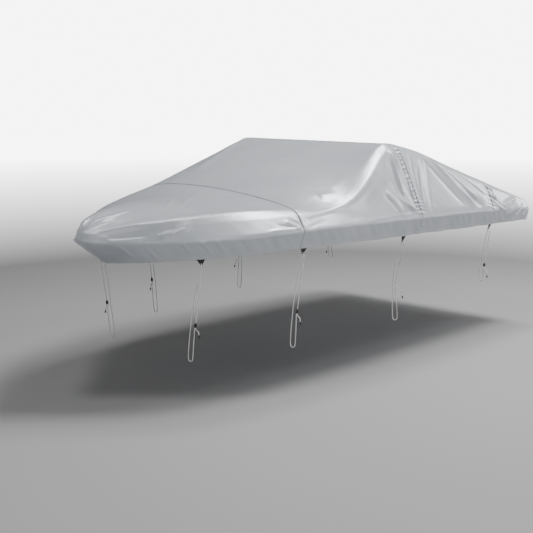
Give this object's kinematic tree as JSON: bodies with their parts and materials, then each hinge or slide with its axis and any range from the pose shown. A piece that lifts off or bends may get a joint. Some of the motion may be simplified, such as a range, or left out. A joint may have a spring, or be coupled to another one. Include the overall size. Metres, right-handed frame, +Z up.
{
  "type": "boat cover",
  "caption": "Fitted grey cloth cover for an open boat, peaked over the windscreen, with a skirt, webbing tabs, white tie ropes, cord locks and end stops.",
  "frame": {"origin": "under the middle of the cover's highest edge, where the boat's windscreen frame carries it", "axes": "+X to the stern, -Y to the port side that the picture shows, +Z up"},
  "size_m": [4.6871, 2.1144, 1.5829],
  "materials": {
    "cover_cloth": "coated woven cloth, satin silver grey",
    "webbing": "black webbing",
    "rope": "white braided rope",
    "black_plastic": "moulded black plastic"
  },
  "bodies": {
    "root": {"bow_panel": "cover_cloth", "front_panel": "cover_cloth", "cockpit_panel": "cover_cloth", "stern_panel": "cover_cloth", "tab_port_1": "webbing", "tab_port_2": "webbing", "tab_port_3": "webbing", "tab_port_4": "webbing", "tab_starboard_1": "webbing", "tab_starboard_2": "webbing", "tab_starboard_3": "webbing", "tab_starboard_4": "webbing", "rope_port_1": "rope", "rope_port_2": "rope", "rope_port_3": "rope", "rope_port_4": "rope", "rope_starboard_1": "rope", "rope_starboard_2": "rope", "rope_starboard_3": "rope", "rope_starboard_4": "rope", "tail_port_1": "rope", "tail_port_2": "rope", "tail_port_3": "rope", "tail_port_4": "rope", "tail_starboard_1": "rope", "tail_starboard_2": "rope", "tail_starboard_3": "rope", "tail_starboard_4": "rope", "knot_port_3": "rope", "knot_starboard_3": "rope", "lock_port_1": "black_plastic", "lock_port_2": "black_plastic", "lock_port_4": "black_plastic", "lock_starboard_1": "black_plastic", "lock_starboard_2": "black_plastic", "lock_starboard_4": "black_plastic", "stop_port_1": "black_plastic", "stop_port_2": "black_plastic", "stop_port_3": "black_plastic", "stop_port_4": "black_plastic", "stop_starboard_1": "black_plastic", "stop_starboard_2": "black_plastic", "stop_starboard_3": "black_plastic", "stop_starboard_4": "black_plastic"}
  },
  "joints": []
}
